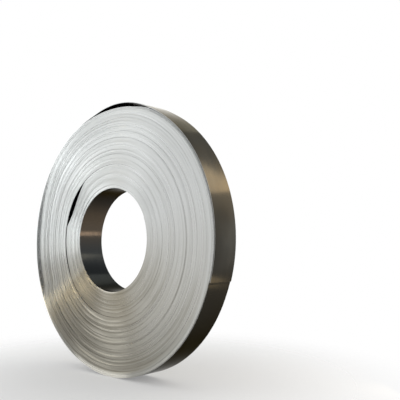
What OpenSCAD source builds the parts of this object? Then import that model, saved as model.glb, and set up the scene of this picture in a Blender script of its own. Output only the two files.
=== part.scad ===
// Slit steel strip wound into a coil that stands on its rim with its eye level.
// Y runs along the coil's axis, X across its ends, and Z is up. The front end faces -Y.
// The origin is the middle of the bore. Directions are in degrees above +X, seen from the front.

/* [Coil] */
// Diameter of the bore, which is the size of the winding mandrel
bore_d = 508; // [420:2:610]
// Outside diameter of the winding at the end of the strip
outer_d = 1325; // [1150:5:1500]
// Width of the strip, which is the coil's length along its axis
strip_w = 145; // [80:1:300]
// Thickness of the strip
strip_t = 2.4; // [1.5:0.1:4]

/* [Turns on the ends] */
// Bands of turns that show between the bore and the seam
inner_bands = 11; // [4:1:16]
// Bands of turns that show between the seam and the rim
outer_bands = 25; // [8:1:34]
// How far a band of turns stands in or out of the end
weave = 2; // [0.5:0.1:3]
// How much the bands differ in width, as a share of the average band
unevenness = 0.32; // [0:0.02:0.4]

/* [Slack seam] */
// Radius where the wraps have slackened and left a seam
seam_r = 375; // [340:1:430]
// Width of the seam at each end
seam_w = 3; // [2:0.5:5]
// Depth of the seam from each end
seam_depth = 14; // [5:1:25]

/* [Open gap] */
// Direction of the gap where the inner wraps have pulled away
gap_at = 147; // [90:1:180]
// Half of the angle that the gap spans at the front end
gap_half = 23; // [12:1:30]

/* [Slack sides] */
// Direction of the side where the turns have sunk in behind the outer wrap
sunk_at = 180; // [165:1:195]
// Half of the angle over which they have sunk in
sunk_half = 28; // [22:1:34]
// Widest opening between them and the outer wrap
sunk_open = 34; // [10:1:60]
// How far back from the front end the opening reaches
sunk_depth = 12; // [6:1:30]
// Direction of the side where the outer wrap only stands off a little
loose_at = 13; // [0:1:20]
// Half of the angle over which it stands off
loose_half = 20; // [14:1:24]
// Widest opening behind it there
loose_open = 8; // [3:0.5:12]

/* [Sprung tail] */
// Direction in which the tail of the strip has sprung furthest out
tail_at = 76; // [70:1:95]
// Angle from there back to where the tail leaves the winding
tail_half = 26; // [20:1:40]
// How far the tail stands out of the rim
tail_rise = 23; // [8:1:40]
// Direction at which the strip is cut off
tail_end = -16; // [-30:1:10]
// How much further the slack tail stands out under its crown than a quarter turn from it
tail_slack = 9; // [3:0.5:14]
// How far the tail still stands out of the rim where it is cut off
tail_stand = 3.5; // [2:0.5:6]

/* [Lead end] */
// Direction of the strip's first edge in the bore
lead_at = 24; // [0:1:60]
// Angle over which the step at that edge fades out
lead_run = 30; // [15:1:45]

/* [Hidden] */
$fn = 180;

bore_r = bore_d / 2;
rim_r = outer_d / 2;
// Inside of the outer wraps that stand off at the sides
wrap_r = rim_r - 2 * strip_t;
// Length of every cut that goes right through, and reach of every cut that goes past the rim
through = 2 * strip_w;
reach = 2 * rim_r;
// Phase that the weave's two waves gain from one band to the next
slow_turn = 37;
jump_turn = 104;
// Phase that the bands' widths gain from one band to the next
width_turn = 83;
// The tail's arcs start this far under the rim, so that they leave it at an angle
tail_root = 1;
// How deep the tail's solid reaches into the turns that it is part of
tail_bed = 6;
// The turn under the tail lies this much lower than the rim beside the tail's end, as a clean step
tail_step = 0.4;
// How far the edges of the tail stay inside the ends
tail_inset = weave + 1;
// The gap's cut takes this much off the wall of the seam
gap_bite = 1;
// The turned winding is this much larger than the spiral that trims it
trim = 1;

// Weave of one band: a slow wander of the strip, and a jump from band to band
function lift(i) = weave * (0.55 * sin(i * slow_turn) + 0.45 * sin(i * jump_turn));
// Radius of a band's inner edge, with the first and last edges left in place
function edge(r_in, r_out, count, i) =
    r_in + (r_out - r_in) * (i + (i > 0 && i < count ? unevenness * sin(i * width_turn) : 0)) / count;
// One end's steps from the inner radius to the outer one, at height z
function steps(r_in, r_out, count, first, z) = [
    for (i = [0 : count - 1], side = [0, 1])
        [edge(r_in, r_out, count, i + side), z + lift(first + i)]
];
function reversed(list) = [for (i = [len(list) - 1 : -1 : 0]) list[i]];

// Section of the winding at one side of its axis: the bore, the bands on both ends and the seam
module winding_section() {
    half = strip_w / 2;
    seam_z = half - seam_depth;
    outer_r = seam_r + seam_w;
    inner_top = steps(bore_r, seam_r, inner_bands, 0, half);
    outer_top = steps(outer_r, rim_r + trim, outer_bands, inner_bands, half);
    inner_low = steps(bore_r, seam_r, inner_bands, 0, -half);
    outer_low = steps(outer_r, rim_r + trim, outer_bands, inner_bands, -half);
    polygon(concat(
        inner_top, [[seam_r, seam_z], [outer_r, seam_z]], outer_top,
        reversed(outer_low), [[outer_r, -seam_z], [seam_r, -seam_z]], reversed(inner_low)
    ));
}

// Outer turn of the spiral as two half circles. Counter-clockwise from the end of the strip
// the radius falls by one thickness of strip, down to the turn that lies under that end.
module rim_outline() {
    quarter = strip_t / 4;
    rotate(tail_end) {
        intersection() {
            translate([quarter, 0]) circle(rim_r - quarter);
            translate([-reach, 0]) square([2 * reach, reach]);
        }
        intersection() {
            translate([-quarter, 0]) circle(rim_r - 3 * quarter);
            translate([-reach, -reach]) square([2 * reach, reach]);
        }
    }
}

// Space between the inside of the outer wraps and turns that lie on a flatter arc
module slack_outline(at, half_angle, open) {
    half_chord = wrap_r * sin(half_angle);
    drop = wrap_r * (1 - cos(half_angle)) - open;
    flat_r = (half_chord * half_chord + drop * drop) / (2 * drop);
    rotate(at) difference() {
        circle(wrap_r);
        translate([wrap_r - open - flat_r, 0]) circle(flat_r);
        translate([-reach, -reach]) square([reach, 2 * reach]);
    }
}

// Inner wraps pulled flat at the front end: the part of the round wall beyond a plane.
// The plane leans out towards the back end, where the wraps still lie tight.
module gap_wedge() {
    gap_r = seam_r + seam_w + gap_bite;
    chord = gap_r * cos(gap_half);
    lean = atan((gap_r - chord) / strip_w);
    rotate(gap_at) intersection() {
        cylinder(r = gap_r, h = through, center = true);
        translate([chord, 0, strip_w / 2]) rotate([0, -lean, 0])
            translate([0, -gap_r, -through]) cube([gap_r, 2 * gap_r, 2 * through]);
    }
}

// A smaller circle pushed out of the rim, with straight tangents back to it, and a slack arc
// from there to the strip's cut end. skin is how far the outline lies inside the tail's outer
// face, and core is the radius of the turns that it leaves out.
module tail_outline(skin, core) {
    root_r = rim_r - tail_root;
    shift = (tail_rise + tail_root) / (1 - cos(tail_half));
    crown_r = root_r - shift * cos(tail_half);
    function touch(r, from) = [from + r * cos(tail_half), r * sin(tail_half)];
    low = touch(root_r - skin, 0);
    high = touch(crown_r - skin, shift);
    intersection() {
        difference() {
            union() {
                rotate(tail_at) {
                    translate([shift, 0]) circle(crown_r - skin);
                    polygon([low, high, [high.x, -high.y], [low.x, -low.y]]);
                }
                rotate(tail_at) intersection() {
                    translate([tail_slack, 0]) circle(rim_r + tail_stand - skin);
                    translate([-reach, -reach]) square([2 * reach, reach]);
                }
            }
            circle(core);
        }
        rotate(tail_end) translate([-reach, 0]) square([2 * reach, reach]);
    }
}

// Step that the strip's first edge leaves in the wall of the bore, fading out over lead_run
module lead_outline() {
    deep_r = bore_r + strip_t;
    shift = (deep_r * deep_r - bore_r * bore_r) / (2 * (deep_r - bore_r * cos(lead_run)));
    rotate(lead_at) intersection() {
        translate([shift, 0]) circle(deep_r - shift);
        square(2 * deep_r);
    }
}

module cut_through() {
    linear_extrude(through, center = true) children();
}

module steel_coil() {
    color("#c3c6c4") rotate([90, 0, 0]) difference() {
        union() {
            intersection() {
                rotate_extrude() winding_section();
                cut_through() rim_outline();
            }
            linear_extrude(strip_w - 2 * tail_inset, center = true)
                tail_outline(0, rim_r - tail_bed);
        }
        cut_through() tail_outline(strip_t, rim_r - strip_t - tail_step);
        cut_through() slack_outline(loose_at, loose_half, loose_open);
        translate([0, 0, strip_w / 2 - sunk_depth]) linear_extrude(strip_w)
            slack_outline(sunk_at, sunk_half, sunk_open);
        gap_wedge();
        cut_through() lead_outline();
    }
}

steel_coil();
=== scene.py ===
import math
import random

import bmesh
import bpy
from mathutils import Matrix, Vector


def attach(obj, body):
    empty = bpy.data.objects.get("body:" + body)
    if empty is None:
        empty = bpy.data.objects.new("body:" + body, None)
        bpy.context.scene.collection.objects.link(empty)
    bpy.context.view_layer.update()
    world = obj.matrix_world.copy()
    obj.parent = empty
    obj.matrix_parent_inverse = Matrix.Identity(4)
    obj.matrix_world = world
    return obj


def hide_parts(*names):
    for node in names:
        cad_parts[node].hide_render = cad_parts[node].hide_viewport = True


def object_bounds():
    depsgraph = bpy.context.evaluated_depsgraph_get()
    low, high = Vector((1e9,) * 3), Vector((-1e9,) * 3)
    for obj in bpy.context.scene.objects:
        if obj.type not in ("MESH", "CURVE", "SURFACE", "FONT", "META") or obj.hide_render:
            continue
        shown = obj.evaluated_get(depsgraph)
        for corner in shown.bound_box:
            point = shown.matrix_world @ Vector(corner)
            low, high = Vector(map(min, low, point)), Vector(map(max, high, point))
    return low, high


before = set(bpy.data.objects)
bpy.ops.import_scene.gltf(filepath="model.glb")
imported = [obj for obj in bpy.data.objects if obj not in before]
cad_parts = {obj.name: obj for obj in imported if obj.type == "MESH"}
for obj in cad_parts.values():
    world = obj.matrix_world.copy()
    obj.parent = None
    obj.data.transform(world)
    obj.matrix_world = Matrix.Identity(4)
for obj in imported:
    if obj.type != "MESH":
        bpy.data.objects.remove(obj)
cadLow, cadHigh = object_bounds()
print("frame loaded, CAD box", [round(v, 4) for v in cadLow], [round(v, 4) for v in cadHigh])

# strip and its turns, in metres; directions in degrees above +X, seen from the front
strip = {
    "thick": 0.0024,
    "half": 0.0725,       # half of the strip's width
    "chamfer": 0.00015,   # broken edge of a loose wrap
    "clear": 0.0001,      # air between loose wraps
    "within": 0.0001,     # how far a turn's edge stays inside the CAD box
}
winding = {
    "bore": 0.254,
    "rim": 0.6625,        # outside of the last wrap at its cut end
    "rimBack": 0.0002,    # how far the last wrap lies inside that
    "innerTurns": 49,
    "outerTurns": 112,
    "innerBands": 11,
    "outerBands": 25,
    "segments": 150,
    "seed": 11,
}
weave = {
    "most": 0.0013,       # how far a band of turns stands in or out
    "waves": ((37.0, 0.55), (104.0, 0.45)),  # phase from band to band, and share
    "unevenness": 0.32,   # of the bands' widths
    "widthTurn": 83.0,
    "jitter": 0.0001,     # one turn against the next
    "edgeJitter": 0.16,   # the same for its place, as a share of a turn
    "wobble": 0.0001,     # wander of a turn on its way round
    "wander": (0.82, 0.57),  # how much of it a turn takes from its neighbour, and how much is its own
    "quickWave": 0.6,     # share of the wander's quickest wave
    "allWaves": 0.5,      # and of all of them
}
slit = {
    "lean": 8.0,          # slope of a slit edge, away to the outside
    "leanSpread": 1.2,    # how much that slope differs from band to band
    "leanJitter": 0.8,    # and from turn to turn
    "wrapLean": 2.5,      # slope on the outer wraps, which lie freer
    "burr": 0.00005,      # how far its outer corner stays back from the next turn
}
openLines = {
    "main": [             # radius, width, direction where it is deepest
        (0.300, 0.0005, 235.0), (0.426, 0.0009, 15.0), (0.448, 0.0006, 250.0), (0.506, 0.0008, 60.0),
        (0.537, 0.0009, 130.0), (0.564, 0.0008, 330.0), (0.588, 0.0006, 170.0), (0.618, 0.0006, 290.0),
    ],
    "fine": 15,           # more of them, which open towards the floor
    "fineSpread": (0.2, 0.8),  # where each may lie in its share of the radius
    "fineWidth": (0.0004, 0.0007),
    "fineAt": (225.0, 295.0),
    "floor": 0.0022,      # least depth behind the end
    "depth": 0.007,       # how much deeper a line gets
    "even": 0.45,         # share of that all the way round
    "swing": 0.75,        # and the share that its direction adds or takes
}
seam = {
    "low": 0.375,
    "high": 0.378,
    "floor": 0.058,
    "shut": 0.0023,       # how far the seam has closed away from its slack side
    "slackAt": 186.0,
    "slackHalf": 35.0,
    "slackRun": 50.0,     # angle over which it closes
    "reach": 0.04,        # how far out the turns move with it
    "onWall": 1e-6,       # a point this near its inner wall still counts as inside it
}
gap = {"at": 147.0, "half": 23.0, "radius": 0.379, "skew": 0.55}
gapLine = {"at": 189.0, "half": 24.0, "open": 0.003}   # thin line that runs on below the gap
sunkSide = {"from": 141.0, "full": 170.0, "fade": 202.0, "to": 210.0, "open": 0.031}
looseSide = {"at": 13.0, "half": 20.0, "open": 0.001}
looseTop = {"at": 99.0, "half": 19.0, "open": 0.0065}  # lies right under the last wrap
looseWraps = {            # wraps that stand apart under the last one, from the inside out
    "drawn": (0.56, 0.60, 0.73, 0.86),  # how far each goes out with the slack tail
    "backed": (0.0, 0.1, 0.5, 0.92),    # how far each lies up against its crown at the back end
    "sunk": (0.90, 0.68, 0.44, 0.18),   # how far each sinks in with the turns at the left side
    "firstBand": 40,
    "spread": 6,          # power by which the turns under them follow the tail
}
tail = {
    "at": 79.0, "half": 28.0, "rise": 0.019, "root": 0.001,  # crown of the sprung tail
    "end": -16.0, "slack": 0.009, "stand": 0.0035,           # slack arc down to its cut end
    "soft": 0.003,        # rounds the corner between crown and slack arc
    "drawFrom": -2.0,     # where the slack arc starts to draw the wraps out, counted from the crown
    "drawRun": 9.0,
    "endRun": 20.0,       # angle past the cut end over which they come back
    "inset": 0.0022,      # how far its edges stay behind the ends
    "cut": 0.1,           # open angle at a cut end
    "ownSide": 0.02,      # turned by this much, a cut end counts as the strip's own side
}
lead = {"at": 24.0, "inset": 0.0006}  # the strip's first edge, in the bore


def turnBetween(angle, start):
    return (angle - start) % 360.0


def signedAngle(angle, at):
    return (angle - at + 180.0) % 360.0 - 180.0


def offAngle(angle, at):
    return abs(signedAngle(angle, at))


def clamp(value):
    return max(0.0, min(1.0, value))


def spiralDrop(angle):  # how much of one thickness the spiral still has at this direction
    return strip["thick"] * (1.0 - turnBetween(angle, tail["end"]) / 360.0)


def slackDepth(angle, side, wrapRadius):  # turns on a flatter arc behind a round wrap
    beta = offAngle(angle, side["at"])
    if beta >= side["half"]:
        return 0.0
    chord = wrapRadius * math.sin(math.radians(side["half"]))
    drop = wrapRadius * (1 - math.cos(math.radians(side["half"]))) - side["open"]
    flat = (chord ** 2 + drop ** 2) / (2 * drop)
    centre = wrapRadius - side["open"] - flat
    b = math.radians(beta)
    arc = centre * math.cos(b) + math.sqrt(flat ** 2 - (centre * math.sin(b)) ** 2)
    return max(0.0, wrapRadius - arc)


def slackSum(angle, wrapRadius):  # at the left side and the right one
    upper = clamp((angle - sunkSide["from"]) / (sunkSide["full"] - sunkSide["from"]))
    lower = clamp((sunkSide["to"] - angle) / (sunkSide["to"] - sunkSide["fade"]))
    sunk = sunkSide["open"] * upper * lower * lower * (3 - 2 * lower)
    return sunk + slackDepth(angle, looseSide, wrapRadius)


def gapDepth(angle):  # inner wraps pulled flat
    beta = offAngle(angle, gap["at"])
    if beta >= gap["half"]:
        return 0.0
    chord = gap["radius"] * math.cos(math.radians(gap["half"]))
    skew = 1 + gap["skew"] * (angle - gap["at"]) / gap["half"]  # widest towards its lower end
    return skew * max(0.0, seam["low"] - chord / math.cos(math.radians(beta)))


def tailRadius(angle):  # outside of the sprung tail, or 0 where the strip lies tight
    beta = signedAngle(angle, tail["at"])
    if beta >= tail["half"] or beta < tail["end"] - tail["at"]:
        return 0.0
    h, b = math.radians(tail["half"]), math.radians(beta)
    root = winding["rim"] - tail["root"]
    shift = (tail["rise"] + tail["root"]) / (1 - math.cos(h))
    crown = root - shift * math.cos(h)
    touch = math.atan2(crown * math.sin(h), shift + crown * math.cos(h))
    arch = root
    if abs(b) < touch:
        arch = shift * math.cos(b) + math.sqrt(crown ** 2 - (shift * math.sin(b)) ** 2)
    elif abs(b) < h:
        arch = root / math.cos(h - abs(b))
    if beta > 0:
        return arch
    slack = tail["slack"] * math.cos(b) + winding["rim"] + tail["stand"]
    soft = tail["soft"]
    return (arch + slack + math.sqrt((arch - slack) ** 2 + soft ** 2)) / 2 - soft / 8


def tailDraw(angle):  # how far the slack arc draws the wraps under it outwards
    beta = signedAngle(angle, tail["at"])
    rise = clamp((tail["drawFrom"] - beta) / tail["drawRun"])
    rise *= clamp((beta - tail["end"] + tail["at"] + tail["endRun"]) / tail["endRun"])
    return rise * max(0.0, tail["slack"] * math.cos(math.radians(beta)) + tail["stand"])


def tailCrown(angle):  # how far the crown stands out above the slack arc
    return max(0.0, tailRadius(angle) - winding["rim"] - tailDraw(angle))


def bandLift(index):
    lift = sum(share * math.sin(math.radians(index * turn)) for turn, share in weave["waves"])
    return weave["most"] * lift


def bandEdges(low, high, count):
    turn, shift = weave["widthTurn"], weave["unevenness"]
    inside = [i + shift * math.sin(math.radians(i * turn)) for i in range(1, count)]
    return [low] + [low + (high - low) * i / count for i in inside] + [high]


def makeTurns(low, high, count, bandCount, firstBand, draw):
    pitch, most = (high - low) / count, weave["most"]
    bands = bandEdges(low, high, bandCount)
    tilts = [slit["lean"] + slit["leanSpread"] * draw.uniform(-1, 1) for k in range(bandCount)]
    turns, edges = [], [low]
    for i in range(1, count):
        edges.append(low + pitch * (i + draw.uniform(-weave["edgeJitter"], weave["edgeJitter"])))
    edges.append(high)
    for i in range(count):
        middle = (edges[i] + edges[i + 1]) / 2
        band = next(k for k in range(bandCount) if middle <= bands[k + 1])
        lift = bandLift(firstBand + band) + draw.uniform(-1, 1) * weave["jitter"]
        lift = max(-most, min(most, lift))
        tilt = tilts[band] + draw.uniform(-slit["leanJitter"], slit["leanJitter"])
        turns.append((edges[i], edges[i + 1], lift, math.tan(math.radians(tilt))))
    return turns


def pairTurns(turns):  # two turns at a time, for the plain end
    pairs = []
    for i in range(0, len(turns), 2):
        both = turns[i:i + 2]
        lift = sum(t[2] for t in both) / len(both)
        pairs.append((both[0][0], both[-1][1], lift, both[0][3]))
    return pairs


def endPoints(turns, side, first, splits=()):  # side -1 is the front end
    points, opened, end = [], 0.0, side * strip["half"]
    for i, (inner, outer, lift, slope) in enumerate(turns):
        face = end - lift
        points.append((inner + opened, face, first + i))
        points.append((outer - slit["burr"], face - side * slope * (outer - inner), first + i))
        opened = 0.0
        for k, (radius, width, at) in enumerate(splits):
            if inner < radius <= outer and i + 1 < len(turns):
                opened = width
                points += [(outer, end, -2 - k), (outer + width, end, -2 - k)]
    return points


def polar(co):
    return math.hypot(co.x, co.z), math.degrees(math.atan2(co.z, co.x)) % 360.0


def setPolar(vert, radius, angle, y):
    a = math.radians(angle)
    vert.co = Vector((radius * math.cos(a), y, radius * math.sin(a)))


def frontness(y):  # 1 at the front end, 0 at the back end
    return clamp((strip["half"] - y) / (2 * strip["half"]))


def windingInside():  # radius that the first wrap lies in
    return winding["bore"] + strip["thick"] + strip["clear"]


def windingOutside():  # radius that the loose wraps and the last one lie on
    loose = len(looseWraps["sunk"]) * (strip["thick"] + strip["clear"])
    return winding["rim"] - 2 * strip["thick"] - loose


def windingProfile(draw):  # radius, place along the axis and turn; -1 is the seam, -2 and on an open line
    low, high = windingInside(), windingOutside()
    innerBands, outerBands = winding["innerBands"], winding["outerBands"]
    inner = makeTurns(low, seam["low"], winding["innerTurns"], innerBands, 0, draw)
    outer = makeTurns(seam["high"], high, winding["outerTurns"], outerBands, innerBands, draw)
    count = len(inner) + len(outer)
    splits = list(openLines["main"])
    for k in range(openLines["fine"]):
        radius = low + (high - low) * (k + draw.uniform(*openLines["fineSpread"])) / openLines["fine"]
        width = draw.uniform(*openLines["fineWidth"])
        splits.append((radius, width, draw.uniform(*openLines["fineAt"])))
    front = endPoints(inner, -1, 0, splits)
    front += [(seam["low"], seam["floor"], -1), (seam["high"], seam["floor"], -1)]
    front += endPoints(outer, -1, len(inner), splits)
    back = endPoints(pairTurns(inner + outer), 1, 0)
    back = [(r, y, min(count - 1, 2 * t)) for r, y, t in back]
    return front + back[::-1], splits, count


def turnWaves(count, draw):  # each turn wanders a little on its way round, in step with its neighbours
    keep, own = weave["wander"]
    waves, walk = [], [0.0] * 6
    for i in range(count):
        walk = [keep * w + own * draw.gauss(0, 1) for w in walk]
        waves.append(list(walk))
    return waves


def wanderAt(wave, angle):
    t = math.radians(angle)
    slow = wave[0] * math.sin(t) + wave[1] * math.cos(t)
    slow += wave[2] * math.sin(2 * t) + wave[3] * math.cos(2 * t)
    quick = wave[4] * math.sin(3 * t) + wave[5] * math.cos(3 * t)
    wander = weave["allWaves"] * (slow + weave["quickWave"] * quick)
    return weave["wobble"] * max(-1.0, min(1.0, wander))


def innerRadius(r, angle, toFront):  # turns inside the seam: spiral, gap and the line below it
    low = windingInside()
    share = clamp((r - low) / (seam["low"] - low))
    line = clamp(1 - (offAngle(angle, gapLine["at"]) / gapLine["half"]) ** 2)
    r -= (gapDepth(angle) + gapLine["open"] * line) * share * toFront
    return r + strip["thick"] * turnBetween(lead["at"], angle) / 360.0 * (1 - share)


def outerRadius(r, angle, toFront):  # turns outside the seam: closed seam, spiral, tail and slack sides
    high = windingOutside()
    shut = clamp((offAngle(angle, seam["slackAt"]) - seam["slackHalf"]) / seam["slackRun"])
    r -= seam["shut"] * shut * (1 - clamp((r - seam["high"]) / seam["reach"]))
    share = clamp((r - seam["high"]) / (high - seam["high"]))
    r += spiralDrop(angle) * share
    r += tailDraw(angle) * looseWraps["drawn"][0] * share ** looseWraps["spread"]
    return r - (slackSum(angle, high) + slackDepth(angle, looseTop, high)) * share * toFront


def addWinding():
    bm = bmesh.new()
    turnLayer = bm.verts.layers.int.new("turn")
    draw = random.Random(winding["seed"])
    profile, splits, count = windingProfile(draw)
    verts = []
    for r, y, turn in profile:
        v = bm.verts.new((r, y, 0.0))
        v[turnLayer] = turn
        verts.append(v)
    edges = [bm.edges.new((a, b)) for a, b in zip(verts, verts[1:] + verts[:1])]
    bmesh.ops.spin(
        bm, geom=verts + edges, cent=(0, 0, 0), axis=(0, -1, 0),
        angle=math.tau, steps=winding["segments"], use_merge=True,
    )
    waves = turnWaves(count, draw)
    for v in bm.verts:
        r, angle = polar(v.co)
        y, turn = v.co.y, v[turnLayer]
        toFront = frontness(y)
        if turn >= 0:
            y += wanderAt(waves[turn], angle)
            y = max(cadLow.y + strip["within"], min(cadHigh.y - strip["within"], y))
        elif turn < -1:
            toDeepest = math.radians(angle - splits[-2 - turn][2])
            deep = clamp(openLines["even"] + openLines["swing"] * math.cos(toDeepest))
            y = -strip["half"] + openLines["floor"] + openLines["depth"] * deep
        radiusAt = innerRadius if r <= seam["low"] + seam["onWall"] else outerRadius
        setPolar(v, radiusAt(r, angle, toFront), angle, y)
    print("winding:", count, "turns,", len(bm.verts), "vertices")
    return bm


def addWrap(bm, start, sweep, frontY, backY, outsideAt):
    c, thick, base = strip["chamfer"], strip["thick"], 1.0  # spun at base, then set on its own radius
    fall = thick * math.tan(math.radians(slit["wrapLean"]))
    inside = base - thick
    corners = [
        (inside, frontY + c), (inside + c, frontY), (base - c, frontY + fall), (base, frontY + fall + c),
        (base, backY - fall - c), (base - c, backY - fall), (inside + c, backY), (inside, backY - c),
    ]
    before = set(bm.verts)
    a = math.radians(start)
    verts = [bm.verts.new((r * math.cos(a), y, r * math.sin(a))) for r, y in corners]
    edges = [bm.edges.new((p, q)) for p, q in zip(verts, verts[1:] + verts[:1])]
    bmesh.ops.spin(
        bm, geom=verts + edges, cent=(0, 0, 0), axis=(0, -1, 0), angle=math.radians(sweep),
        steps=round(winding["segments"] * abs(sweep) / 360.0), use_merge=sweep == 360.0,
    )
    made = [v for v in bm.verts if v not in before]
    rims = {e for v in made for e in v.link_edges if len(e.link_faces) == 1}
    if rims:
        bmesh.ops.holes_fill(bm, edges=list(rims), sides=len(corners))
    for v in made:
        r, angle = polar(v.co)
        setPolar(v, outsideAt(angle, frontness(v.co.y)) + r - base, angle, v.co.y)


def addWraps():
    bm = bmesh.new()
    thick, half = strip["thick"], strip["half"]
    high = windingOutside()
    count = len(looseWraps["sunk"])
    ownSide = tail["ownSide"]
    for i in range(count):
        outside = high + (i + 1) * (thick + strip["clear"])
        lift = bandLift(looseWraps["firstBand"] + i)

        def looseOutside(angle, toFront, outside=outside, i=i):
            slack = slackSum(angle, high) * looseWraps["sunk"][i] + slackDepth(angle, looseTop, high)
            rise = tailDraw(angle) * looseWraps["drawn"][i]
            rise += tailCrown(angle) * looseWraps["backed"][i] * (1 - toFront)
            return outside + spiralDrop(angle) + rise - slack * toFront

        addWrap(bm, 0.0, 360.0, -half - lift, half - lift, looseOutside)

    def lastOutside(angle, toFront):
        angle += ownSide
        rim = winding["rim"] - thick * turnBetween(angle, tail["end"]) / 360.0
        return max(rim, tailRadius(angle)) - winding["rimBack"]

    def firstOutside(angle, toFront):
        return winding["bore"] + thick + thick * turnBetween(lead["at"] + ownSide, angle) / 360.0

    sweep = 360.0 - tail["cut"]
    addWrap(bm, tail["end"], sweep, -half + tail["inset"], half - tail["inset"], lastOutside)
    addWrap(bm, lead["at"], -sweep, -half + lead["inset"], half - lead["inset"], firstOutside)
    print("wraps: first, last and", count, "loose ones")
    return bm


finish = {
    "merge": 1e-6,
    "rolledFrom": 0.006,  # a face that runs further along the axis is the strip's rolled face
    "endFrom": 0.6,       # a face that looks more along the axis than this is on an end
    "grainScale": 0.5,
    "sharp": 28.0,
}


def finishCoil(bm):
    bmesh.ops.remove_doubles(bm, verts=bm.verts, dist=finish["merge"])
    bmesh.ops.recalc_face_normals(bm, faces=bm.faces)
    grain = bm.loops.layers.uv.new("grain")  # u runs across the rolling lines
    for face in bm.faces:
        face.smooth = True
        spread = max(v.co.y for v in face.verts) - min(v.co.y for v in face.verts)
        face.material_index = 1 if spread > finish["rolledFrom"] else 0
        onEnd = abs(face.normal.y) > finish["endFrom"]
        middle = polar(face.calc_center_median())[1]
        for loop in face.loops:
            r, angle = polar(loop.vert.co)
            angle = middle + signedAngle(angle, middle)
            loop[grain].uv = (r if onEnd else loop.vert.co.y, math.radians(angle) * finish["grainScale"])


def newGroup(name, inputs, outputs):
    group = bpy.data.node_groups.new(name, "ShaderNodeTree")
    for label, value in inputs:
        socket = group.interface.new_socket(name=label, in_out="INPUT", socket_type="NodeSocketFloat")
        socket.default_value = value
    for label in outputs:
        group.interface.new_socket(name=label, in_out="OUTPUT", socket_type="NodeSocketFloat")
    return group, group.nodes.new("NodeGroupInput"), group.nodes.new("NodeGroupOutput")


def feed(tree, socket, value):  # a number, a colour or a link
    if isinstance(value, tuple):
        socket.default_value = (*value, 1.0)
    elif isinstance(value, (int, float)):
        socket.default_value = value
    else:
        tree.links.new(value, socket)


def mathNode(tree, operation, *values):
    node = tree.nodes.new("ShaderNodeMath")
    node.operation = operation
    for socket, value in zip(node.inputs, values):
        feed(tree, socket, value)
    return node.outputs[0]


def times(tree, first, *others):
    for other in others:
        first = mathNode(tree, "MULTIPLY", first, other)
    return first


def combine(tree, x, y, z):
    node = tree.nodes.new("ShaderNodeCombineXYZ")
    for socket, value in zip(node.inputs, (x, y, z)):
        feed(tree, socket, value)
    return node.outputs[0]


def noise(tree, vector, scale, detail):
    node = tree.nodes.new("ShaderNodeTexNoise")
    feed(tree, node.inputs["Scale"], scale)
    node.inputs["Detail"].default_value = detail
    tree.links.new(vector, node.inputs["Vector"])
    return node.outputs["Fac"]


def stretch(tree, value, low, high, toLow=0.0, toHigh=1.0):
    node = tree.nodes.new("ShaderNodeMapRange")
    node.interpolation_type = "SMOOTHSTEP"
    for name, number in (("From Min", low), ("From Max", high), ("To Min", toLow), ("To Max", toHigh)):
        feed(tree, node.inputs[name], number)
    tree.links.new(value, node.inputs["Value"])
    return node.outputs["Result"]


def mixColour(tree, factor, first, second, blend="MIX"):
    node = tree.nodes.new("ShaderNodeMix")
    node.data_type = "RGBA"
    node.blend_type = blend
    for socket, value in ((node.inputs[0], factor), (node.inputs[6], first), (node.inputs[7], second)):
        feed(tree, socket, value)
    return node.outputs[2]


def coilPlace(tree):  # radius from the axis, direction round it and place along it
    place = tree.nodes.new("ShaderNodeTexCoord").outputs["Object"]
    split = tree.nodes.new("ShaderNodeSeparateXYZ")
    tree.links.new(place, split.inputs[0])
    x, y, z = split.outputs
    radius = mathNode(tree, "SQRT", mathNode(tree, "ADD", times(tree, x, x), times(tree, z, z)))
    return {
        "radius": radius,
        "cosine": mathNode(tree, "DIVIDE", x, radius),
        "sine": mathNode(tree, "DIVIDE", z, radius),
        "along": y,
        "place": place,
    }


turnLine = {  # scale, share of the drift and detail
    "Lines": ("Fine", 1.0, 2.0),
    "Bands": ("Broad", 0.6, 3.0),
}


def makeTurnLines():  # lines that run round the coil: fine ones, and broad bands of turns
    inputs = [("Fine", 900.0), ("Broad", 90.0), ("Drift", 1.2)]
    group, given, out = newGroup("turnLines", inputs, list(turnLine))
    coil = coilPlace(group)
    across = mathNode(group, "ADD", coil["radius"], coil["along"])
    for name, (scale, share, detail) in turnLine.items():
        drift = times(group, given.outputs["Drift"], share)
        x, z = times(group, coil["cosine"], drift), times(group, coil["sine"], drift)
        spot = combine(group, x, times(group, across, given.outputs[scale]), z)
        group.links.new(noise(group, spot, 1.0, detail), out.inputs[name])
    return group


cloudNoise = {"detail": 4.0, "middle": 0.5}


def makeDirectionCloud():  # uneven mask, strongest in one direction round the coil; it lays oil film, painted shade, painted highlights and duller or paler patches
    inputs = [("Scale", 3.0), ("Across", 0.0), ("Up", -1.0), ("Cloud", 0.5), ("From", 0.0), ("To", 1.0)]
    group, given, out = newGroup("directionCloud", inputs, ["Film"])
    coil = coilPlace(group)
    cloud = noise(group, coil["place"], given.outputs["Scale"], cloudNoise["detail"])
    cloud = mathNode(group, "SUBTRACT", cloud, cloudNoise["middle"])
    level = times(group, cloud, given.outputs["Cloud"])
    level = mathNode(group, "MULTIPLY_ADD", coil["sine"], given.outputs["Up"], level)
    level = mathNode(group, "MULTIPLY_ADD", coil["cosine"], given.outputs["Across"], level)
    filmAndShade = stretch(group, level, given.outputs["From"], given.outputs["To"])
    group.links.new(filmAndShade, out.inputs["Film"])
    return group


def placeGroup(tree, group, values):
    node = tree.nodes.new("ShaderNodeGroup")
    node.node_tree = group
    for name, value in values.items():
        node.inputs[name].default_value = value
    return node.outputs


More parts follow.
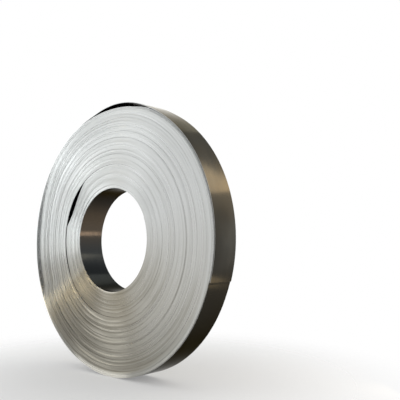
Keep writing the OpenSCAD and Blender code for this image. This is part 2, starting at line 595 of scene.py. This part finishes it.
def startMetal(name, anisotropy):
    material = bpy.data.materials.new(name)
    material.use_nodes = True
    tree = material.node_tree
    shader = tree.nodes["Principled BSDF"]
    shader.inputs["Metallic"].default_value = 1.0
    shader.inputs["Anisotropic"].default_value = anisotropy
    tangent = tree.nodes.new("ShaderNodeTangent")
    tangent.direction_type = "UV_MAP"
    tangent.uv_map = "grain"
    tree.links.new(tangent.outputs[0], shader.inputs["Tangent"])
    return material, tree, shader


def addBump(tree, shader, height, strength, distance):
    bump = tree.nodes.new("ShaderNodeBump")
    bump.inputs["Strength"].default_value = strength
    bump.inputs["Distance"].default_value = distance
    tree.links.new(height, bump.inputs["Height"])
    tree.links.new(bump.outputs["Normal"], shader.inputs["Normal"])


# spans of the masks: where one starts and ends, then its strengths there if they aren't 0 and 1
slitEdge = {
    "bright": (0.58, 0.592, 0.585),
    "dull": (0.43, 0.435, 0.425),
    # painted shade, warm, darker towards the bottom
    "paintedShade": (0.305, 0.280, 0.225),
    # painted shade in a streak low at the left
    "filmAndShade": (0.225, 0.212, 0.18),
    "paleFoot": (0.95, 0.93, 0.86),
    "arc": (0.70, 0.69, 0.66),              # painted shade on some bands of turns, most of all low down
    "glint": (0.66, 0.63, 0.55),            # thin arcs of turns that catch the light low down
    "rough": (0.3, 0.7, 0.26, 0.34),
    "anisotropy": 0.85,
    "bump": (0.09, 0.001),
    "lines": {"Fine": 420.0, "Broad": 75.0, "Drift": 1.4},
    "dullLines": (0.50, 0.74, 0.0, 0.55),
    "bands": (0.45, 0.70),
    "dullBands": 0.14,
    "front": (-0.03, 0.03, 1.0, 0.0),       # the back end stays plain
    "outerWraps": (0.632, 0.648),           # spans of the radius
    "firstWrap": (0.258, 0.262, 0.55, 0.0),
    "innerTurns": (0.30, 0.50, 1.0, 0.0),
    "hazePlace": {"Scale": 1.6, "Across": -0.423, "Up": 0.906, "Cloud": 0.2, "From": 0.45, "To": 0.98},
    "hazeRadius": (0.36, 0.56, 0.85, 0.0),  # duller on the upper inner turns
    "paintedShadePlace": {"Scale": 1.6, "Across": 0.087, "Up": -0.996, "Cloud": 0.4, "From": -0.4, "To": 0.9},
    "paintedShadeShare": 0.75,                      # painted shade, warm, on the lower half
    "paintedShadeInner": (-0.3, 0.2, 0.0, 0.2),     # more on the inner turns, by direction: -1 left, 1 right
    "paintedShadeOuter": -0.4,                      # less on the outer wraps
    "paintedShadeRight": (0.25, 0.65, 1.0, 0.7),    # and at the right
    "filmAndShadePlace": {"Scale": 2.6, "Across": -0.537, "Up": -0.843, "Cloud": 0.08, "From": 0.90, "To": 0.955},
    "shadeStreakLeft": (-0.45, -0.05, 1.0, 0.0),   # painted shade in a streak low at the left
    "paleFootPlace": {"Scale": 2.6, "Across": -0.105, "Up": -0.9945, "Cloud": 0.06, "From": 0.93, "To": 0.99},
    "paleFootShare": 0.9,                        # first wrap and outer wraps much paler at the foot
    "arcShare": (0.7, 0.15),                # where the painted shade lies, and everywhere
    "arcLeft": (-0.75, -0.35, 0.4, 1.0),    # smoother at the left
    "glintPlace": {"Scale": 2.6, "Across": -0.139, "Up": -0.990, "Cloud": 0.05, "From": 0.89, "To": 1.0},
    "glintBands": (0.40, 0.53, 1.0, 0.1),
    "glintLines": (0.38, 0.62, 0.95, 0.3),
    "glintRadius": (0.31, 0.37),
}


def makeSlitEdge(turnLines, directionCloud):
    look = slitEdge
    material, tree, shader = startMetal("slitEdge", look["anisotropy"])
    lines = placeGroup(tree, turnLines, look["lines"])
    coil = coilPlace(tree)
    radius, cosine = coil["radius"], coil["cosine"]
    front = stretch(tree, coil["along"], *look["front"])
    outer = stretch(tree, radius, *look["outerWraps"])
    band = stretch(tree, lines["Bands"], *look["bands"])

    colour = mixColour(tree, stretch(tree, lines["Lines"], *look["dullLines"]), look["bright"], look["dull"])
    colour = mixColour(tree, times(tree, band, look["dullBands"]), colour, look["dull"])
    haze = placeGroup(tree, directionCloud, look["hazePlace"])["Film"]
    haze = times(tree, haze, stretch(tree, radius, *look["hazeRadius"]), front)
    colour = mixColour(tree, haze, colour, look["dull"])

    # painted shade, warm, on the lower half, less on the outer wraps and at the right
    paintedShade = placeGroup(tree, directionCloud, look["paintedShadePlace"])["Film"]
    inner = times(tree, stretch(tree, radius, *look["innerTurns"]), stretch(tree, cosine, *look["paintedShadeInner"]))
    shadeStrength = mathNode(tree, "ADD", inner, look["paintedShadeShare"])
    shadeStrength = mathNode(tree, "MULTIPLY_ADD", outer, look["paintedShadeOuter"], shadeStrength)
    shadeStrength = times(tree, shadeStrength, stretch(tree, cosine, *look["paintedShadeRight"]))
    colour = mixColour(tree, times(tree, paintedShade, shadeStrength), colour, look["paintedShade"])

    # painted shade in a streak low at the left
    filmAndShade = placeGroup(tree, directionCloud, look["filmAndShadePlace"])["Film"]
    filmAndShade = times(tree, filmAndShade, shadeStrength, stretch(tree, cosine, *look["shadeStreakLeft"]), front)
    colour = mixColour(tree, filmAndShade, colour, look["filmAndShade"])

    # painted shade on some bands of turns, strongest where the painted shade lies
    arcs = times(tree, band, mathNode(tree, "MULTIPLY_ADD", paintedShade, *look["arcShare"]))
    arcs = times(tree, arcs, stretch(tree, cosine, *look["arcLeft"]))
    colour = mixColour(tree, arcs, colour, look["arc"], "MULTIPLY")

    glint = placeGroup(tree, directionCloud, look["glintPlace"])["Film"]
    glint = times(tree, glint, stretch(tree, lines["Bands"], *look["glintBands"]))
    glint = times(tree, glint, stretch(tree, lines["Lines"], *look["glintLines"]))
    glint = times(tree, glint, stretch(tree, radius, *look["glintRadius"]), front)
    colour = mixColour(tree, glint, colour, look["glint"])

    edgeTurns = mathNode(tree, "MAXIMUM", outer, stretch(tree, radius, *look["firstWrap"]))
    paleFootMask = placeGroup(tree, directionCloud, look["paleFootPlace"])["Film"]
    colour = mixColour(tree, times(tree, paleFootMask, edgeTurns, look["paleFootShare"], front), colour, look["paleFoot"])

    tree.links.new(colour, shader.inputs["Base Color"])
    tree.links.new(stretch(tree, lines["Bands"], *look["rough"]), shader.inputs["Roughness"])
    addBump(tree, shader, lines["Bands"], *look["bump"])
    return material


rolledFace = {
    "dark": (0.112, 0.108, 0.094),
    "pale": (0.150, 0.143, 0.123),
    "filmAndShade": (0.16, 0.125, 0.078),
    # painted shade: darker towards the bottom of the rim
    "low": (0.024, 0.022, 0.018),
    # painted shade in the bore, darkest at its top, with a brown painted reflection on its sides and a bluish
    # one at its foot
    "boreLow": (0.036, 0.040, 0.042),
    "boreSide": (0.075, 0.056, 0.038),
    "boreTop": (0.018, 0.017, 0.016),
    "edge": (0.43, 0.42, 0.40),  # holds back the gloss at a flat angle
    "rough": (0.3, 0.7, 0.12, 0.22),
    "anisotropy": 0.5,
    "bump": (0.06, 0.0003),
    "lines": {"Fine": 300.0, "Broad": 12.0, "Drift": 3.4},
    "paleBands": (0.35, 0.68),
    "filmAndShadePlace": {"Scale": 3.2, "Across": 0.0, "Up": 0.1, "Cloud": 1.0, "From": -0.11, "To": 0.21},
    "filmShare": 0.6,
    "lowPlace": {"Scale": 1.2, "Across": 0.0, "Up": -0.5, "Cloud": 1.0, "From": -0.26, "To": 0.20},
    "lowShare": 0.92,
    "sideFrom": (-0.35, 0.45),   # height on the bore's wall, -1 at its foot and 1 at its top
    "topFrom": (0.45, 0.85),
    "boreRadius": (0.265, 0.30, 0.9, 0.0),
}


def makeRolledFace(turnLines, directionCloud):
    look = rolledFace
    material, tree, shader = startMetal("rolledFace", look["anisotropy"])
    lines = placeGroup(tree, turnLines, look["lines"])
    filmAndShade = placeGroup(tree, directionCloud, look["filmAndShadePlace"])["Film"]
    low = placeGroup(tree, directionCloud, look["lowPlace"])["Film"]
    coil = coilPlace(tree)
    radius, sine = coil["radius"], coil["sine"]

    colour = mixColour(tree, stretch(tree, lines["Bands"], *look["paleBands"]), look["dark"], look["pale"])
    colour = mixColour(tree, times(tree, filmAndShade, look["filmShare"]), colour, look["filmAndShade"])
    # painted shade: darker towards the bottom
    colour = mixColour(tree, times(tree, low, look["lowShare"]), colour, look["low"])
    # painted shade in the bore, darkest at its top, with a brown painted reflection on its sides and a bluish
    # one at its foot
    bore = mixColour(tree, stretch(tree, sine, *look["sideFrom"]), look["boreLow"], look["boreSide"])
    bore = mixColour(tree, stretch(tree, sine, *look["topFrom"]), bore, look["boreTop"])
    colour = mixColour(tree, stretch(tree, radius, *look["boreRadius"]), colour, bore)

    shader.inputs["Specular Tint"].default_value = (*look["edge"], 1.0)
    tree.links.new(colour, shader.inputs["Base Color"])
    tree.links.new(stretch(tree, lines["Lines"], *look["rough"]), shader.inputs["Roughness"])
    addBump(tree, shader, lines["Lines"], *look["bump"])
    return material


def makeCoil():
    wraps, bm = addWraps(), addWinding()
    loose = bpy.data.meshes.new("looseTurns")
    wraps.to_mesh(loose)
    wraps.free()
    bm.from_mesh(loose)
    bpy.data.meshes.remove(loose)
    finishCoil(bm)
    mesh = bpy.data.meshes.new("coil")
    bm.to_mesh(mesh)
    bm.free()
    mesh.set_sharp_from_angle(angle=math.radians(finish["sharp"]))
    coil = bpy.data.objects.new("coil", mesh)
    bpy.context.scene.collection.objects.link(coil)
    turnLines, directionCloud = makeTurnLines(), makeDirectionCloud()
    mesh.materials.append(makeSlitEdge(turnLines, directionCloud))
    mesh.materials.append(makeRolledFace(turnLines, directionCloud))
    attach(coil, "root")
    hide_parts("steel_coil")
    mesh.calc_loop_triangles()
    print("coil:", len(mesh.loop_triangles), "triangles")


floorLook = {
    "radius": 6.0,
    "segments": 96,
    "fade": (0.67, 1.7),  # distance from the bore's middle over which it gives way to the wall
    "colour": (0.90, 0.895, 0.88),
    "lift": 0.25,         # share of plain white in what is seen or mirrored
}


def makeFloor():
    bm = bmesh.new()
    bmesh.ops.create_circle(bm, cap_ends=True, segments=floorLook["segments"], radius=floorLook["radius"])
    bmesh.ops.translate(bm, verts=bm.verts, vec=(0, 0, cadLow.z))
    mesh = bpy.data.meshes.new("floor")
    bm.to_mesh(mesh)
    bm.free()
    floor = bpy.data.objects.new("floor", mesh)
    bpy.context.scene.collection.objects.link(floor)
    material = bpy.data.materials.new("paleFloor")
    material.use_nodes = True
    tree = material.node_tree
    tree.nodes.remove(tree.nodes["Principled BSDF"])
    length = tree.nodes.new("ShaderNodeVectorMath")
    length.operation = "LENGTH"
    tree.links.new(tree.nodes.new("ShaderNodeTexCoord").outputs["Object"], length.inputs[0])
    diffuse = tree.nodes.new("ShaderNodeBsdfDiffuse")
    diffuse.inputs["Color"].default_value = (*floorLook["colour"], 1.0)
    glow = tree.nodes.new("ShaderNodeEmission")
    path = tree.nodes.new("ShaderNodeLightPath")
    seen = mathNode(tree, "MAXIMUM", path.outputs["Is Camera Ray"], path.outputs["Is Glossy Ray"])
    seen = mathNode(tree, "MAXIMUM", seen, path.outputs["Is Transmission Ray"])
    pale = tree.nodes.new("ShaderNodeMixShader")
    tree.links.new(times(tree, seen, floorLook["lift"]), pale.inputs[0])
    tree.links.new(diffuse.outputs[0], pale.inputs[1])
    tree.links.new(glow.outputs[0], pale.inputs[2])
    clear = tree.nodes.new("ShaderNodeBsdfTransparent")
    blend = tree.nodes.new("ShaderNodeMixShader")
    tree.links.new(stretch(tree, length.outputs["Value"], *floorLook["fade"]), blend.inputs[0])
    tree.links.new(pale.outputs[0], blend.inputs[1])
    tree.links.new(clear.outputs[0], blend.inputs[2])
    tree.links.new(blend.outputs[0], tree.nodes["Material Output"].inputs["Surface"])
    mesh.materials.append(material)
    print("floor at", round(cadLow.z, 4))


studio = {
    "wall": (1.0, 1.0, 1.0),
    "ceiling": (0.42, 0.43, 0.44),
    "ceilingFrom": (0.42, 0.80),  # height of a direction, 0 level and 1 straight up
}
lamps = {  # place, target, size, power and colour
    "keyLight": ((-2.6, -2.0, 1.7), (-0.1, 0.0, 0.1), (2.2, 1.8), 4.8, (0.95, 0.98, 1.0)),
    "sideLight": ((-3.0, -1.3, 0.55), (-0.3, 0.0, 0.0), (1.8, 1.55), 14.0, (0.94, 0.98, 1.0)),
    "streakLight": ((-2.88, -1.8, -0.58), (-0.4, 0.0, -0.25), (0.22, 0.12), 3.2, (1.0, 0.83, 0.50)),
    "warmLight": ((1.44, 1.11, 1.26), (0.60, 0.0, 0.28), (0.75, 0.75), 3.4, (1.0, 0.83, 0.60)),
    "topLight": ((-0.53, 1.26, 1.50), (0.35, 0.0, 0.56), (1.1, 0.8), 2.5, (1.0, 0.97, 0.86)),
    "boreLight": ((0.99, 0.94, -0.27), (-0.25, -0.02, 0.03), (0.2, 0.17), 0.52, (1.0, 0.82, 0.68)),
    "lowLight": ((1.20, 0.60, -0.57), (0.64, 0.0, -0.18), (0.26, 0.14), 0.42, (1.0, 0.80, 0.52)),
}


def areaLight(name, place, target, size, power, colour):
    data = bpy.data.lights.new(name, "AREA")
    data.shape = "RECTANGLE"
    data.size, data.size_y = size
    data.energy = power
    data.color = colour
    lamp = bpy.data.objects.new(name, data)
    lamp.location = place
    lamp.rotation_mode = "QUATERNION"
    lamp.rotation_quaternion = (Vector(target) - Vector(place)).to_track_quat("-Z", "Y")
    lamp.visible_camera = False
    bpy.context.scene.collection.objects.link(lamp)


def makeStudio():
    scene = bpy.context.scene
    scene.view_settings.view_transform = "Standard"
    world = bpy.data.worlds.new("studio")
    scene.world = world
    world.use_nodes = True
    tree = world.node_tree
    split = tree.nodes.new("ShaderNodeSeparateXYZ")
    tree.links.new(tree.nodes.new("ShaderNodeTexCoord").outputs["Generated"], split.inputs[0])
    up = stretch(tree, split.outputs[2], *studio["ceilingFrom"])
    walls = mixColour(tree, up, studio["wall"], studio["ceiling"])
    tree.links.new(walls, tree.nodes["Background"].inputs["Color"])
    for name, lamp in lamps.items():
        areaLight(name, *lamp)
    print("studio:", len(lamps), "lamps")


photoView = {
    "lens": 52.0,
    "sensor": 36.0,
    "far": 60.0,
    "place": (2.2226, -1.9122, -0.0229),
    "tilt": 0.0769,  # up from level, in radians
    "turn": 0.7273,
}


def makeCamera():
    data = bpy.data.cameras.new("photoView")
    data.lens = photoView["lens"]
    data.sensor_width = photoView["sensor"]
    data.clip_end = photoView["far"]
    camera = bpy.data.objects.new("photoView", data)
    camera.location = photoView["place"]
    camera.rotation_euler = (math.pi / 2 + photoView["tilt"], 0.0, photoView["turn"])
    bpy.context.scene.collection.objects.link(camera)
    bpy.context.scene.camera = camera
    print("camera set at the photo's view")


makeCoil()
makeFloor()
makeStudio()
makeCamera()
